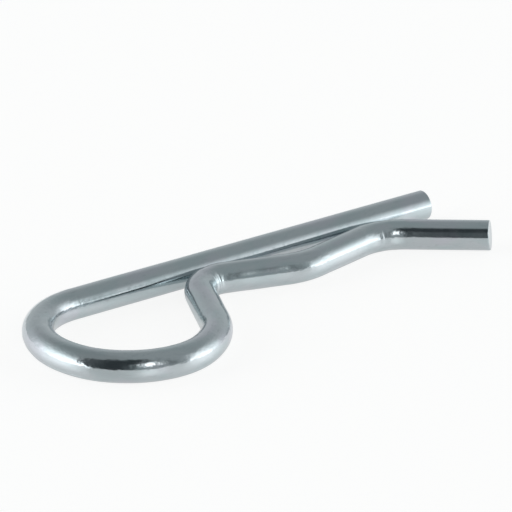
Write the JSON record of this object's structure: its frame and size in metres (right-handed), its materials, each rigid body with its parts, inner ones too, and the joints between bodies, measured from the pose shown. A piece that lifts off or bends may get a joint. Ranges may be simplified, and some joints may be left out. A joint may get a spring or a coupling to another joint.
{
  "type": "hitch pin clip",
  "caption": "Spring-wire R-clip: the straight leg goes through a hitch pin's cross hole and the waved leg snaps round the pin to lock it.",
  "frame": {"origin": "on the axis of the straight leg, level with the deepest point of the pin seat, where the axis of a seated hitch pin crosses it", "axes": "+X along the straight leg to its free end, +Z normal to the plane of the clip, waved leg and bow on the -Y side"},
  "size_m": [0.0687, 0.0251, 0.004],
  "materials": {
    "zinc_wire": "bright zinc plated spring wire, smooth, semi-gloss"
  },
  "bodies": {
    "leg": {"pin_leg": "zinc_wire", "leg_root": "zinc_wire", "heel_bend_1": "zinc_wire"},
    "heel": {"heel_bend_2": "zinc_wire", "bow_1": "zinc_wire"},
    "bow": {"bow_2": "zinc_wire", "shoulder_1": "zinc_wire"},
    "waved_leg": {"shoulder_2": "zinc_wire", "return_run": "zinc_wire", "neck_bend": "zinc_wire", "throat_run": "zinc_wire", "pin_seat": "zinc_wire", "ramp": "zinc_wire", "crown_bend": "zinc_wire", "tail": "zinc_wire"}
  },
  "joints": [
    {"name": "flex_1", "type": "hinge", "parent": "leg", "child": "heel", "pos_m": [-0.03758, -0.0002, 0], "axis": [0, 0, -1], "range_deg": [0, 2.3], "stiffness_Nm_per_rad": 122},
    {"name": "flex_2", "type": "hinge", "parent": "heel", "child": "bow", "pos_m": [-0.04124, -0.01486, 0], "axis": [0, 0, -1], "range_deg": [0, 1.93], "stiffness_Nm_per_rad": 166},
    {"name": "flex_3", "type": "hinge", "parent": "bow", "child": "waved_leg", "pos_m": [-0.02505, -0.02244, 0], "axis": [0, 0, -1], "range_deg": [0, 2.25], "stiffness_Nm_per_rad": 98}
  ]
}
